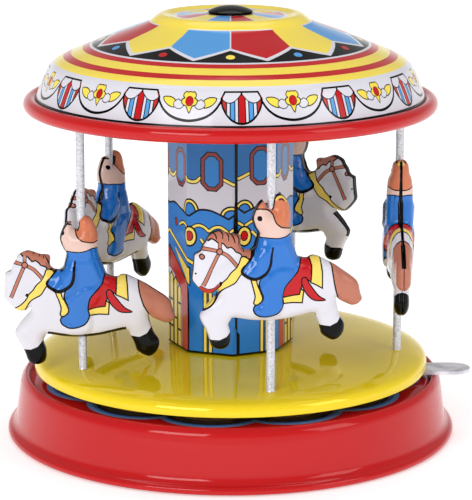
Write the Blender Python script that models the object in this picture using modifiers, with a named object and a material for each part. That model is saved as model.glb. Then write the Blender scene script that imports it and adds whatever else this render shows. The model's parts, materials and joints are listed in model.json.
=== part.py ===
"""Wind-up tin carousel toy.

A pressed tin base holds a spring motor. The motor turns a platform, an octagonal printed
column and a domed roof on one spindle. Five poles stand between platform and roof, and a
two-piece pressed horse and bear rider slides on each. A zinc lever brakes the governor.

Sizes below are in millimetres and the model is built in metres, +Z up. The origin is the
centre of the flat bottom plate.
"""

import math

import bmesh
import bpy
from mathutils import Matrix

MM = 0.001
GAP = 0.3          # clearance between neighbouring pieces
SHEET = 0.4        # thickness of the pressed tin
ROUND = 36         # sides of a large turned piece
SMALL_ROUND = 16   # sides of a small turned piece

# Driving heights and radii
BASE_RADIUS = 53.0
FOOT_RADIUS = 55.2
LIP_TOP = 14.7
DECK_TOP = 13.6
PLATFORM_CROWN = 21.5    # the platform is slightly domed
PLATFORM_AT_COLUMN = 21.4
PLATFORM_AT_POLES = 20.35
SKIRT_BOTTOM = 16.3
CEILING_LOW = 81.6
BEAD_RADIUS = 50.0
BEAD_TUBE = 1.8
BEAD_HEIGHT = 81.4
CAP_TOP = 104.6
ROD_TOP = 103.3
COLUMN_RADIUS = 15.25
COLUMN_SIDES = 8
COLUMN_TURN = math.radians(2.0)
SPINDLE_RADIUS = 1.25

# Poles: angle round the axis, hoof height above the platform at the pole, heading of the horse,
# and how far its nose is tipped up in its loose pole hole
POLE_CIRCLE = 41.0
POLE_RADIUS = 1.0
POLE_HOLE = POLE_RADIUS + 0.15
POLE_HEAD_RADIUS = 1.7
RIDERS = (
    (-5.0, 12.65, 90.0, 6.5),
    (67.0, 13.85, -27.0, 0.0),
    (139.0, 8.0, 236.0, 2.5),
    (211.0, 1.6, 180.0, -3.0),
    (283.0, 10.65, 193.0, 0.0),
)

# Motor
WHEEL_CENTRE = (-23.0, 0.0)
GOVERNOR_ANGLE = math.radians(20.0)
GREAT_TEETH = 36
PINION_TEETH = 10
GREAT_MODULE = 1.0
FAST_TEETH = 30
FLY_TEETH = 8
FAST_MODULE = 0.7
GOVERNOR_REACH = FAST_MODULE * (FAST_TEETH + FLY_TEETH) / 2
GOVERNOR_CENTRE = (GOVERNOR_REACH * math.cos(GOVERNOR_ANGLE), GOVERNOR_REACH * math.sin(GOVERNOR_ANGLE))
ARBOR_RADIUS = 1.3
GOVERNOR_SHAFT = 0.6
KEY_WELL_RADIUS = 13.0
PILLARS = ((-42.0, 15.0), (-42.0, -15.0), (17.0, 15.0), (17.0, -15.0))
PILLAR_TENON = 0.8
LEVER_PIVOT = (34.0, -3.9)
LEVER_LOW = 15.0
LEVER_HIGH = 15.8
FINGER = (12.6, -1.7)

# Horse and rider, pressed from one sheet: forward of the pole, above the front hoof
FIGURE_OUTLINE = (
    (18.5, 17.0), (17.9, 22.7), (16.6, 23.4), (15.8, 25.1), (14.6, 26.9), (13.2, 27.7),
    (11.9, 27.9), (9.2, 26.9), (7.5, 26.7), (7.0, 26.0), (7.2, 24.5), (6.8, 23.6),
    (5.9, 23.1), (4.9, 23.1), (4.1, 23.7), (3.2, 27.0), (4.3, 29.3), (4.5, 30.6),
    (4.1, 32.0), (3.2, 33.5), (2.1, 34.3), (0.7, 32.7), (0.0, 32.7), (-0.5, 33.7),
    (-0.6, 34.7), (-2.1, 35.7), (-2.8, 35.0), (-4.0, 32.5), (-4.5, 30.3), (-4.3, 28.1),
    (-4.6, 25.4), (-6.3, 21.0), (-8.4, 20.5), (-9.4, 21.0), (-10.7, 20.9), (-15.0, 18.6),
    (-20.3, 14.5), (-21.6, 10.1), (-20.6, 9.0), (-19.4, 8.7), (-16.3, 10.1), (-15.3, 10.9),
    (-16.4, 6.3), (-17.4, 4.6), (-17.2, 2.6), (-16.0, 1.1), (-14.4, 0.7), (-12.2, 2.1),
    (-11.3, 4.7), (-9.9, 7.5), (-3.4, 6.5), (0.5, 6.3), (4.6, 6.6), (8.8, 7.4),
    (10.0, 5.9), (9.5, 3.7), (9.6, 1.7), (10.3, 0.5), (11.8, 0.0), (13.5, 0.5),
    (14.2, 1.6), (15.2, 4.8), (16.4, 6.9), (16.7, 8.4), (15.2, 11.1), (12.8, 13.3),
    (12.6, 14.3), (13.7, 13.5), (15.3, 13.5), (16.5, 14.3),
)
SEAM = GAP / 2
FIGURE_SHEET = 0.3
WALL_SLOPE = 0.5
TIP_HEIGHT = 19.0      # a tipped figure turns about this height on its pole
LIMB_DEPTH = 2.1
BODY_DEPTH = 3.4

COLOURS = {
    "red_enamel": (0.60, 0.015, 0.02, 0.25, 0.0),
    "yellow_enamel": (0.87, 0.66, 0.03, 0.25, 0.0),
    "blue_enamel": (0.03, 0.20, 0.55, 0.25, 0.0),
    "white_enamel": (0.82, 0.81, 0.84, 0.30, 0.0),
    "black_enamel": (0.02, 0.02, 0.02, 0.30, 0.0),
    "zinc": (0.60, 0.59, 0.64, 0.42, 1.0),
    "tinplate": (0.66, 0.66, 0.64, 0.35, 1.0),
    "steel": (0.45, 0.45, 0.46, 0.30, 1.0),
    "brass": (0.70, 0.50, 0.18, 0.30, 1.0),
    "spring_steel": (0.20, 0.22, 0.28, 0.35, 1.0),
}


def clear_scene():
    for item in list(bpy.data.objects):
        bpy.data.objects.remove(item, do_unlink=True)


def new_collection(name):
    group = bpy.data.collections.new(name)
    bpy.context.scene.collection.children.link(group)
    return group


clear_scene()
PARTS = new_collection("tin_carousel")
CUTTERS = new_collection("cutters")


def paint(name, colour):
    """Give a sub-part its own Principled material."""
    red, green, blue, roughness, metallic = COLOURS[colour]
    material = bpy.data.materials.new(name)
    material.use_nodes = True
    shader = material.node_tree.nodes["Principled BSDF"]
    shader.inputs["Base Color"].default_value = (red, green, blue, 1.0)
    shader.inputs["Roughness"].default_value = roughness
    shader.inputs["Metallic"].default_value = metallic
    return material


def place(name, mesh, colour, at=(0.0, 0.0, 0.0), group=None):
    """Put a mesh in the scene at a point in millimetres."""
    item = bpy.data.objects.new(name, mesh)
    (group or PARTS).objects.link(item)
    item.location = [value * MM for value in at]
    if colour:
        mesh.materials.append(paint(name, colour))
    return item


def polar(radius, angle, centre=(0.0, 0.0)):
    return (centre[0] + radius * math.cos(angle), centre[1] + radius * math.sin(angle))


def circle(radius, steps=SMALL_ROUND, centre=(0.0, 0.0)):
    return [polar(radius, math.tau * step / steps, centre) for step in range(steps)]


def signed_area(points):
    total = 0.0
    for (x0, y0), (x1, y1) in zip(points, points[1:] + points[:1]):
        total += x0 * y1 - x1 * y0
    return total / 2


def offset_line(points, distance):
    """Shift an open line sideways, to the right of its direction, with mitred corners."""
    shifted = []
    for index, (x, y) in enumerate(points):
        before = points[max(index - 1, 0)]
        after = points[min(index + 1, len(points) - 1)]
        normals = []
        for (x0, y0), (x1, y1) in ((before, (x, y)), ((x, y), after)):
            length = math.hypot(x1 - x0, y1 - y0)
            if length > 0.0:
                normals.append(((y1 - y0) / length, -(x1 - x0) / length))
        nx = sum(normal[0] for normal in normals) / len(normals)
        ny = sum(normal[1] for normal in normals) / len(normals)
        scale = distance / (nx * nx + ny * ny)
        shifted.append((x + nx * scale, y + ny * scale))
    return shifted


def sheet(points, thickness=SHEET):
    """Close a line of (radius, height) into a sheet section, with the line as its outer face."""
    return points + offset_line(points, thickness)[::-1]


def turned(name, profile, colour, at=(0.0, 0.0, 0.0), steps=SMALL_ROUND, turn=0.0, group=None, flat=False):
    """Turn a closed section of (radius, height) about the vertical line through a point."""
    points = list(profile)
    if signed_area(points) > 0:
        points.reverse()
    if points[0][0] > 0 and any(radius == 0 for radius, height in points):
        start = next(index for index, point in enumerate(points)
                     if point[0] == 0 and points[index - 1][0] == 0)
        points = points[start:] + points[:start]
    on_axis = points[0][0] == 0
    mesh = bpy.data.meshes.new(name)
    vertices = [(radius * MM, 0.0, height * MM) for radius, height in points]
    edges = [(index, index + 1) for index in range(len(points) - 1)]
    if not on_axis:
        edges.append((len(points) - 1, 0))
    mesh.from_pydata(vertices, edges, [])
    item = place(name, mesh, colour, at, group)
    item.rotation_euler = (0.0, 0.0, turn)
    screw = item.modifiers.new("turn", "SCREW")
    screw.steps = steps
    screw.render_steps = steps
    screw.use_smooth_shade = not flat
    screw.use_merge_vertices = True
    screw.merge_threshold = 0.000001
    return item


def flat_plate(name, outlines, low, high, colour, at=(0.0, 0.0), upright=None):
    """Extrude a flat outline with holes. The outline is about its own centre."""
    curve = bpy.data.curves.new(name, "CURVE")
    curve.dimensions = "2D"
    curve.fill_mode = "BOTH"
    curve.extrude = (high - low) / 2
    for outline in outlines:
        spline = curve.splines.new("POLY")
        spline.points.add(len(outline) - 1)
        for point, (x, y) in zip(spline.points, outline):
            point.co = (x, y, 0.0, 1.0)
        spline.use_cyclic_u = True
    guide = bpy.data.objects.new(name + "_outline", curve)
    CUTTERS.objects.link(guide)
    bpy.context.view_layer.update()
    evaluated = guide.evaluated_get(bpy.context.evaluated_depsgraph_get())
    mesh = bpy.data.meshes.new_from_object(evaluated)
    mesh.name = name
    mesh.materials.clear()
    bpy.data.objects.remove(guide, do_unlink=True)
    built = bmesh.new()
    built.from_mesh(mesh)
    bmesh.ops.remove_doubles(built, verts=built.verts, dist=0.001)
    bmesh.ops.translate(built, verts=built.verts, vec=(0.0, 0.0, (high + low) / 2))
    if upright:
        bmesh.ops.transform(built, verts=built.verts, matrix=upright)
    bmesh.ops.scale(built, verts=built.verts, vec=(MM, MM, MM))
    bmesh.ops.recalc_face_normals(built, faces=built.faces)
    built.to_mesh(mesh)
    built.free()
    return place(name, mesh, colour, (at[0], at[1], 0.0))


def cylinder_cutter(name, radius, low, high, at):
    """A round cutter, wide enough that its flats clear the radius."""
    reach = radius / math.cos(math.pi / SMALL_ROUND)
    cutter = turned(name, [(0, high), (reach, high), (reach, low), (0, low)], None, (at[0], at[1], 0.0),
                    group=CUTTERS)
    return hide_cutter(cutter)


def hide_cutter(cutter):
    cutter.hide_render = True
    cutter.display_type = "WIRE"
    return cutter


def combine(item, other, operation):
    boolean = item.modifiers.new(other.name, "BOOLEAN")
    boolean.operation = operation
    boolean.object = other
    boolean.solver = "EXACT"


def shade_round(item):
    item.data.shade_smooth()
    item.data.set_sharp_from_angle(angle=math.radians(35))


def pole_place(index):
    return polar(POLE_CIRCLE, math.radians(RIDERS[index][0]))


# ---------------------------------------------------------------- base and motor

def build_base():
    wall = [
        (2.6, DECK_TOP), (49.6, DECK_TOP), (50.1, LIP_TOP), (50.9, LIP_TOP), (51.8, 13.4),
        (BASE_RADIUS, 4.0), (54.2, 2.0), (FOOT_RADIUS, 1.0), (FOOT_RADIUS - 0.3, 0.0),
    ]
    shell = turned("base_shell", sheet(wall), "red_enamel", steps=ROUND)
    slot = flat_cutter("finger_slot", (FINGER[0] - 1.3, FINGER[1] - 3.0), (FINGER[0] + 1.3, FINGER[1] + 3.7),
                       DECK_TOP - 2.0, DECK_TOP + 2.0)
    combine(shell, slot, "DIFFERENCE")
    rivet_hole = cylinder_cutter("lever_rivet_hole", 1.3, DECK_TOP - 2.0, DECK_TOP + 2.0, LEVER_PIVOT)
    combine(shell, rivet_hole, "DIFFERENCE")
    shade_round(shell)
    flat_plate("bottom_plate",
               [circle(FOOT_RADIUS - 1.6, ROUND), circle(KEY_WELL_RADIUS, 32, WHEEL_CENTRE)],
               0.0, 0.5, "tinplate")


def flat_cutter(name, corner, opposite, low, high):
    bpy.ops.mesh.primitive_cube_add(size=1.0)
    cutter = bpy.context.object
    cutter.name = name
    for group in list(cutter.users_collection):
        group.objects.unlink(cutter)
    CUTTERS.objects.link(cutter)
    size = (opposite[0] - corner[0], opposite[1] - corner[1], high - low)
    centre = ((opposite[0] + corner[0]) / 2, (opposite[1] + corner[1]) / 2, (high + low) / 2)
    move = Matrix.Translation([value * MM for value in centre])
    cutter.data.transform(move @ Matrix.Diagonal([value * MM for value in size] + [1.0]))
    return hide_cutter(cutter)


def motor_outline():
    """A rounded rectangle round the four pillars."""
    corner = 4.0
    points = []
    for start, (x, y) in zip((0, 90, 180, 270), ((17, 15), (-42, 15), (-42, -15), (17, -15))):
        for step in range(4):
            points.append(polar(corner, math.radians(start + 30 * step), (x, y)))
    return points


def build_motor_frame():
    tenons = [circle(PILLAR_TENON + GAP, 10, pillar) for pillar in PILLARS]
    arbor = circle(ARBOR_RADIUS + GAP, 14, WHEEL_CENTRE)
    governor = circle(GOVERNOR_SHAFT + GAP, 12, GOVERNOR_CENTRE)
    spindle = circle(SPINDLE_RADIUS + GAP, 14)
    for name, low, high in (("motor_bottom_plate", 5.4, 6.0), ("motor_top_plate", 11.6, 12.2)):
        flat_plate(name, [motor_outline(), arbor, spindle, governor] + tenons, low, high, "steel")
    for number, pillar in enumerate(PILLARS, 1):
        section = [
            (0, 12.8), (PILLAR_TENON, 12.8), (PILLAR_TENON, 11.3), (1.6, 11.3),
            (1.6, 6.3), (PILLAR_TENON, 6.3), (PILLAR_TENON, 5.0), (0, 5.0),
        ]
        shade_round(turned(f"motor_pillar_{number}", section, "brass", pillar + (0.0,), 12))
    bush = [(3.4, 14.5), (3.4, 13.9), (2.3, 13.9), (2.3, 12.6), (1.5, 12.6), (1.5, 14.5)]
    shade_round(turned("spindle_bush", bush, "brass"))
    rivet = [
        (0, 17.0), (1.4, 16.9), (2.2, 16.1), (1.0, 16.1), (1.0, 14.7), (1.9, 14.7),
        (1.9, 13.9), (1.0, 13.9), (1.0, 12.9), (1.8, 12.9), (1.6, 12.2), (0, 12.1),
    ]
    shade_round(turned("lever_rivet", rivet, "steel", LEVER_PIVOT + (0.0,)))


def build_mainspring():
    """A flat ribbon wound in a spiral about the winding arbor."""
    inner, outer, turns, per_turn, ribbon = 2.8, 10.1, 5, 12, 0.35
    count = turns * per_turn
    edges = []
    for half in (ribbon / 2, -ribbon / 2):
        edges.append([
            polar(inner + (outer - inner) * step / count + half, math.tau * step / per_turn)
            for step in range(count + 1)
        ])
    flat_plate("mainspring", [edges[0] + edges[1][::-1]], 6.5, 9.2, "spring_steel", WHEEL_CENTRE)


def gear_outline(teeth, module, first_tooth, backlash):
    """Involute teeth of 20 degrees. first_tooth is the angle of one tooth's centre."""
    pressure = math.radians(20.0)
    pitch = teeth * module / 2
    base = pitch * math.cos(pressure)
    root = pitch - 1.25 * module
    tip = pitch + 0.85 * module
    pitch_half = math.pi / (2 * teeth) - backlash / (2 * pitch)

    def half_angle(radius):
        slope = math.acos(min(base / radius, 1.0)) if radius > base else 0.0
        return pitch_half + math.tan(pressure) - pressure - (math.tan(slope) - slope)

    flank = [root, max(base, (root + pitch) / 2), tip]
    if teeth < 20:
        flank.insert(2, (max(base, root) + tip) / 2)
    points = []
    for tooth in range(teeth):
        centre = first_tooth + math.tau * tooth / teeth
        points += [polar(radius, centre - half_angle(radius)) for radius in flank]
        points += [polar(radius, centre + half_angle(radius)) for radius in reversed(flank)]
    return points


def ratchet_outline(teeth, root, tip):
    points = []
    for tooth in range(teeth):
        angle = math.tau * tooth / teeth
        points += [polar(root, angle), polar(tip, angle + 0.06)]
    return points


def build_drive():
    great = gear_outline(GREAT_TEETH, GREAT_MODULE, 0.0, 0.22)
    flat_plate("great_wheel", [great, circle(ARBOR_RADIUS + GAP, 14)], 9.5, 10.3, "brass", WHEEL_CENTRE)
    click = [polar(1.1, math.radians(angle)) for angle in range(-150, 100, 30)] + [(-2.6, 4.7), (-3.4, 4.2)]
    flat_plate("click", [click], 10.6, 11.2, "steel", (WHEEL_CENTRE[0] + 8.2, WHEEL_CENTRE[1] - 4.5))


def build_winder():
    flat_plate("ratchet_wheel", [ratchet_outline(12, 3.6, 4.5), circle(ARBOR_RADIUS + GAP, 14)],
               10.6, 11.2, "steel", WHEEL_CENTRE)
    arbor = [(0, 12.8), (ARBOR_RADIUS, 12.8), (ARBOR_RADIUS, 1.9), (0, 1.9)]
    shade_round(turned("winding_arbor", arbor, "steel", WHEEL_CENTRE + (0.0,), 14))
    # a flat butterfly key, standing on edge, with a socket that takes the arbor
    wing = [(2.2, 1.2), (4.2, 0.8), (9.0, 0.8), (10.4, 1.8), (10.4, 3.9), (9.0, 4.9), (4.2, 4.9), (2.2, 4.5)]
    outline = wing + [(-x, z) for x, z in reversed(wing)]
    hole = [(5.2, 1.9), (8.6, 1.9), (9.2, 2.85), (8.6, 3.8), (5.2, 3.8), (4.6, 2.85)]
    other_hole = [(-x, z) for x, z in hole]
    stand = Matrix.Rotation(math.radians(90), 4, "X")
    key = flat_plate("winding_key", [outline, hole, other_hole], -0.6, 0.6, "steel", WHEEL_CENTRE, stand)
    hub = turned("key_hub", [(0, 5.1), (2.7, 5.1), (2.7, 0.9), (0, 0.9)], None, WHEEL_CENTRE + (0.0,),
                 group=CUTTERS)
    combine(key, hide_cutter(hub), "UNION")
    socket = cylinder_cutter("key_socket", ARBOR_RADIUS + GAP, 1.6, 6.0, WHEEL_CENTRE)
    combine(key, socket, "DIFFERENCE")


def build_governor():
    bore = circle(GOVERNOR_SHAFT + GAP, 12)
    gap_faces_spindle = GOVERNOR_ANGLE + math.pi + math.pi / FLY_TEETH
    pinion = gear_outline(FLY_TEETH, FAST_MODULE, gap_faces_spindle, 0.16)
    flat_plate("governor_pinion", [pinion, bore], 6.9, 8.3, "brass", GOVERNOR_CENTRE)
    arm, hub, reach = 0.45, 1.7, 5.4
    fly = [(arm, hub), (arm, reach), (-arm, reach), (-arm, hub), (-hub, 0.8), (-hub, -0.8)]
    fly += [(-x, -y) for x, y in fly]
    flat_plate("governor_fly", [fly, bore], 8.7, 10.9, "brass", GOVERNOR_CENTRE)
    flat_plate("brake_drum", [circle(3.0, 24), bore], 12.4, 12.9, "steel", GOVERNOR_CENTRE)
    shaft = [(0, 13.0), (GOVERNOR_SHAFT, 13.0), (GOVERNOR_SHAFT, 5.0), (0, 5.0)]
    shade_round(turned("governor_shaft", shaft, "steel", GOVERNOR_CENTRE + (0.0,), 12))


def build_lever():
    """A flat zinc strip with a finger that drops through the deck beside the brake drum."""
    px, py = LEVER_PIVOT
    outline = [polar(4.1, math.radians(angle), (54.8 - px, -4.1 - py)) for angle in range(-90, 91, 15)]
    outline += [
        (48.6 - px, 0.0 - py), (45.4 - px, 1.6 - py), (30.0 - px, 1.6 - py), (26.5 - px, -0.9 - py),
        (FINGER[0] - 0.5 - px, FINGER[1] + 0.5 - py), (FINGER[0] - 0.5 - px, FINGER[1] - 0.5 - py),
        (26.5 - px, -6.0 - py), (30.0 - px, -8.2 - py),
    ]
    lever = flat_plate("stop_lever", [outline, circle(1.3, 14)], LEVER_LOW, LEVER_HIGH, "zinc", LEVER_PIVOT)
    finger = flat_cutter("lever_finger", (FINGER[0] - 0.45, FINGER[1] - 0.45),
                         (FINGER[0] + 0.45, FINGER[1] + 0.45), 12.5, LEVER_HIGH - 0.2)
    combine(lever, finger, "UNION")


# ---------------------------------------------------------------- turntable

def build_turntable():
    top = [(1.6, PLATFORM_CROWN), (COLUMN_RADIUS, PLATFORM_AT_COLUMN), (29.0, 20.9),
           (POLE_CIRCLE, PLATFORM_AT_POLES), (45.0, 20.0), (47.0, 19.4), (48.1, 18.5),
           (48.4, 17.4), (48.4, SKIRT_BOTTOM)]
    platform = turned("platform", sheet(top), "yellow_enamel", steps=ROUND)
    for index in range(len(RIDERS)):
        hole = cylinder_cutter(f"platform_hole_{index + 1}", POLE_HOLE, PLATFORM_AT_POLES - 2,
                               PLATFORM_AT_POLES + 2, pole_place(index))
        combine(platform, hole, "DIFFERENCE")
    shade_round(platform)

    foot = PLATFORM_AT_COLUMN + GAP
    wall = [(COLUMN_RADIUS, CEILING_LOW - GAP), (COLUMN_RADIUS, foot),
            (COLUMN_RADIUS - SHEET, foot), (COLUMN_RADIUS - SHEET, CEILING_LOW - GAP)]
    turned("column", wall, "blue_enamel", steps=COLUMN_SIDES, turn=COLUMN_TURN, flat=True)

    pole_holes = [circle(POLE_HOLE, 14, pole_place(index)) for index in range(len(RIDERS))]
    flat_plate("roof_ceiling", [circle(46.0, ROUND), circle(1.6, 14)] + pole_holes,
               CEILING_LOW, CEILING_LOW + SHEET, "tinplate")
    build_roof()

    cap = [(0, CAP_TOP), (1.8, 104.5), (3.4, 104.15), (4.6, 103.75), (5.5, 103.25), (5.4, 103.05),
           (1.6, 103.05), (1.6, ROD_TOP + GAP), (0, ROD_TOP + GAP)]
    shade_round(turned("roof_cap", cap, "black_enamel", steps=20))
    rod = [(0, ROD_TOP), (SPINDLE_RADIUS, ROD_TOP), (SPINDLE_RADIUS, 4.6), (0, 4.6)]
    shade_round(turned("centre_rod", rod, "steel"))
    collar_top = PLATFORM_CROWN - SHEET - GAP
    bore_radius = SPINDLE_RADIUS + GAP
    collar = [(4.0, collar_top), (4.0, 14.9), (bore_radius, 14.9), (bore_radius, collar_top)]
    shade_round(turned("spindle_collar", collar, "brass"))

    bore = circle(bore_radius, 14)
    gap_faces_wheel = math.pi + math.pi / PINION_TEETH
    pinion = gear_outline(PINION_TEETH, GREAT_MODULE, gap_faces_wheel, 0.22)
    flat_plate("spindle_pinion", [pinion, bore], 9.3, 10.5, "steel")
    fast = gear_outline(FAST_TEETH, FAST_MODULE, GOVERNOR_ANGLE, 0.16)
    flat_plate("spindle_wheel", [fast, bore], 7.2, 8.0, "brass")


def build_roof():
    """A domed sheet with a rolled bead round its rim and a dish at its crown."""
    dome = [
        (1.7, 102.7), (5.6, 102.7), (13.4, 101.9), (16.3, 103.0), (18.2, 102.0), (19.4, 100.7),
        (28.3, 97.6), (33.2, 95.4), (38.5, 93.3), (42.8, 91.4), (44.3, 89.6), (47.2, 83.1),
    ]
    inner = offset_line(dome, SHEET)
    centre = (BEAD_RADIUS - BEAD_TUBE, BEAD_HEIGHT)
    bead = [polar(BEAD_TUBE, math.radians(angle), centre) for angle in range(90, -181, -45)]
    roof = turned("roof", dome + bead + inner[::-1], "red_enamel", steps=ROUND)
    shade_round(roof)


# ---------------------------------------------------------------- poles and riders

def build_pole(index):
    x, y = pole_place(index)
    low = PLATFORM_AT_POLES - SHEET - 0.35
    high = CEILING_LOW + SHEET + 0.4
    section = [
        (0, high + 0.6), (POLE_HEAD_RADIUS, high + 0.5), (POLE_HEAD_RADIUS, high), (POLE_RADIUS, high),
        (POLE_RADIUS, low), (POLE_HEAD_RADIUS, low), (POLE_HEAD_RADIUS, low - 0.5), (0, low - 0.6),
    ]
    shade_round(turned(f"pole_{index + 1}", section, "zinc", (x, y, 0.0), 14))


def press_depth(forward, height):
    """How far the sheet is pressed out: deep at the horse's belly and the rider, shallow at the limbs."""
    horse = math.hypot(forward / 17.0, (height - 14.0) / 9.0)
    rider = math.hypot((forward + 1.0) / 7.0, (height - 24.0) / 14.0)
    swell = max(0.0, 1.0 - min(horse, rider) ** 3)
    return LIMB_DEPTH + (BODY_DEPTH - LIMB_DEPTH) * swell


def build_figure_half(index, side, name):
    """One pressed half: an open pan whose rim is the seam, made a sheet by Solidify."""
    built = bmesh.new()
    rim = [built.verts.new((x, side * SEAM, z)) for x, z in FIGURE_OUTLINE]
    wrapped = [FIGURE_OUTLINE[-1]] + list(FIGURE_OUTLINE) + [FIGURE_OUTLINE[0]]
    inset = offset_line(wrapped, -WALL_SLOPE)[1:-1]
    crown = [built.verts.new((x, side * press_depth(x, z), z)) for x, z in inset]
    for point in range(len(rim)):
        after = (point + 1) % len(rim)
        built.faces.new((rim[point], rim[after], crown[after], crown[point]))
    face = built.faces.new(crown)
    bmesh.ops.triangulate(built, faces=[face])
    bmesh.ops.recalc_face_normals(built, faces=built.faces)
    front = max(built.faces, key=lambda item: item.calc_area())
    if front.normal.y * side < 0:
        bmesh.ops.reverse_faces(built, faces=built.faces)
    angle, hoof, heading, tip = RIDERS[index]
    nose_up = Matrix.Rotation(math.radians(-tip), 3, "Y")
    bmesh.ops.rotate(built, verts=built.verts, cent=(0.0, 0.0, TIP_HEIGHT), matrix=nose_up)
    bmesh.ops.scale(built, verts=built.verts, vec=(MM, MM, MM))
    mesh = bpy.data.meshes.new(name)
    built.to_mesh(mesh)
    built.free()
    x, y = pole_place(index)
    item = place(name, mesh, "white_enamel", (x, y, PLATFORM_AT_POLES + hoof))
    item.rotation_euler = (0.0, 0.0, math.radians(heading))
    solid = item.modifiers.new("sheet", "SOLIDIFY")
    solid.thickness = FIGURE_SHEET * MM
    solid.offset = -1.0
    solid.use_even_offset = False
    channel = bpy.data.objects.get(f"pole_channel_{index + 1}")
    if channel is None:
        channel = cylinder_cutter(f"pole_channel_{index + 1}", POLE_HOLE, SKIRT_BOTTOM, CEILING_LOW, (x, y))
    combine(item, channel, "DIFFERENCE")
    item.modifiers.new("triangles", "TRIANGULATE")


build_base()
build_motor_frame()
build_mainspring()
build_drive()
build_winder()
build_governor()
build_lever()
build_turntable()
for rider in range(len(RIDERS)):
    build_pole(rider)
    build_figure_half(rider, 1, f"horse_rider_{rider + 1}_left")
    build_figure_half(rider, -1, f"horse_rider_{rider + 1}_right")
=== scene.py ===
"""Looks of the wind-up tin carousel.

Every printed surface is made as litho tin is: flat artwork is laid out as coloured shapes,
cut into one mesh with a crisp edge at every change of ink, and then formed round the dome,
the column, the deck or the pressed riders. Lengths are in millimetres until a mesh is made.
"""
import json
from contextlib import contextmanager
from math import cos, degrees, dist, floor, hypot, pi, radians, sin, sqrt, tau

import bmesh
import bpy
from mathutils import Matrix, Vector
from mathutils.geometry import delaunay_2d_cdt


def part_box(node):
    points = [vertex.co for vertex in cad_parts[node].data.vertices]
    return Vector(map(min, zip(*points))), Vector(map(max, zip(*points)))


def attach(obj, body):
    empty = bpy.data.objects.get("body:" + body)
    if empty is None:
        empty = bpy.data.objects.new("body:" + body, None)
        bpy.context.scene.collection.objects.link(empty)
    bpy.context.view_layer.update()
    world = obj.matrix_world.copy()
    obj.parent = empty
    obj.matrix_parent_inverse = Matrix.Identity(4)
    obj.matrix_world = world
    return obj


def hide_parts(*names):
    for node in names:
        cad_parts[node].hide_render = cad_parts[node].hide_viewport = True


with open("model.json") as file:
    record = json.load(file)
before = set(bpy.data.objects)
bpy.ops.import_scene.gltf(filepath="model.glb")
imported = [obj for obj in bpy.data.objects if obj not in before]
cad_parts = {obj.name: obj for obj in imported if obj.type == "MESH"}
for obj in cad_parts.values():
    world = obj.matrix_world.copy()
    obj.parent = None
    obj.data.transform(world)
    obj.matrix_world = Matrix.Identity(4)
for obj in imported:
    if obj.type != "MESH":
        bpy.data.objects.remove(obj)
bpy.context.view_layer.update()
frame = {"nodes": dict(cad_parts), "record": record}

MM = 0.001
SKIN = 0.36                  # thickness of a printed sheet


# ---------------------------------------------------------------- places read from the frame

def span(node):
    """Lowest and highest corner of a CAD node, in millimetres."""
    low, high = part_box(node)
    return Vector(low) / MM, Vector(high) / MM


def centre(node):
    low, high = span(node)
    return (low + high) / 2


PLATFORM_LOW, PLATFORM_HIGH = span("platform")
ROOF_LOW, ROOF_HIGH = span("roof")
BASE_LOW, BASE_HIGH = span("base_shell")
COLUMN_LOW, COLUMN_HIGH = span("column")
CAP_LOW, CAP_HIGH = span("roof_cap")
PLATFORM_RADIUS = PLATFORM_HIGH.x
ROOF_RADIUS = ROOF_HIGH.x
BASE_RADIUS = BASE_HIGH.x
DECK_TOP = BASE_HIGH.z - 1.1
COLUMN_RADIUS = 15.25
COLUMN_TURN = 2.0
FACET = 2 * COLUMN_RADIUS * sin(radians(22.5))
SEAM_PLACE = 1.0             # the column's seam, beside its front corner
DIP = 2.05                   # from the seam to the first dip between the hills
POLES = [centre(f"pole_{number}") for number in range(1, 6)]
HEADINGS = (90.0, -27.0, 236.0, 180.0, 193.0)
DECK_SECTORS = 12            # the deck's print repeats in sectors
DECK_TURN = -7.3             # degrees from the front to the middle of a sector
TIPS = (6.5, 0.0, 2.5, -3.0, 0.0)          # how far each rider leans back in its loose pole holes
TIP_HEIGHT = 19.0            # the height above the hoof that a rider leans about
HOOVES = (33.0, 34.2, 28.35, 21.95, 31.0)  # height of each front hoof before the rider leans
# how far each rider's print sits forward of and above its pressing, and the black that shows at the
# horse's nose and at the bear's front
PRINTS = ((0.0, 1.6, 0.1, 0.1), (-0.2, 2.1, 0.8, 0.4), (0.0, 2.3, 0.05, 0.05), (0.6, 2.4, 0.05, 1.0),
          (0.0, 0.9, 0.25, 0.6))


# ---------------------------------------------------------------- materials

def linear(red, green, blue):
    """Screen colour from 0 to 255, as linear light."""
    out = []
    for value in (red, green, blue):
        value /= 255.0
        out.append(value / 12.92 if value <= 0.04045 else ((value + 0.055) / 1.055) ** 2.4)
    return tuple(out) + (1.0,)


def new_material(name):
    material = bpy.data.materials.new(name)
    material.use_nodes = True
    tree = material.node_tree
    return material, tree, tree.nodes["Principled BSDF"]


def set_inputs(node, values):
    for socket, value in values.items():
        node.inputs[socket].default_value = value


def noise(tree, scale, detail=2.0, stretch=None):
    """Noise in the object's own metres, so that it stays put on the surface."""
    place = tree.nodes.new("ShaderNodeTexCoord")
    texture = tree.nodes.new("ShaderNodeTexNoise")
    set_inputs(texture, {"Scale": scale, "Detail": detail})
    source = place.outputs["Object"]
    if stretch:
        mapping = tree.nodes.new("ShaderNodeMapping")
        mapping.inputs["Scale"].default_value = stretch
        tree.links.new(source, mapping.inputs["Vector"])
        source = mapping.outputs["Vector"]
    tree.links.new(source, texture.inputs["Vector"])
    return texture.outputs["Fac"]


def remap(tree, value, low, high, to_low, to_high):
    node = tree.nodes.new("ShaderNodeMapRange")
    set_inputs(node, {"From Min": low, "From Max": high, "To Min": to_low, "To Max": to_high})
    tree.links.new(value, node.inputs["Value"])
    return node.outputs["Result"]


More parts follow.
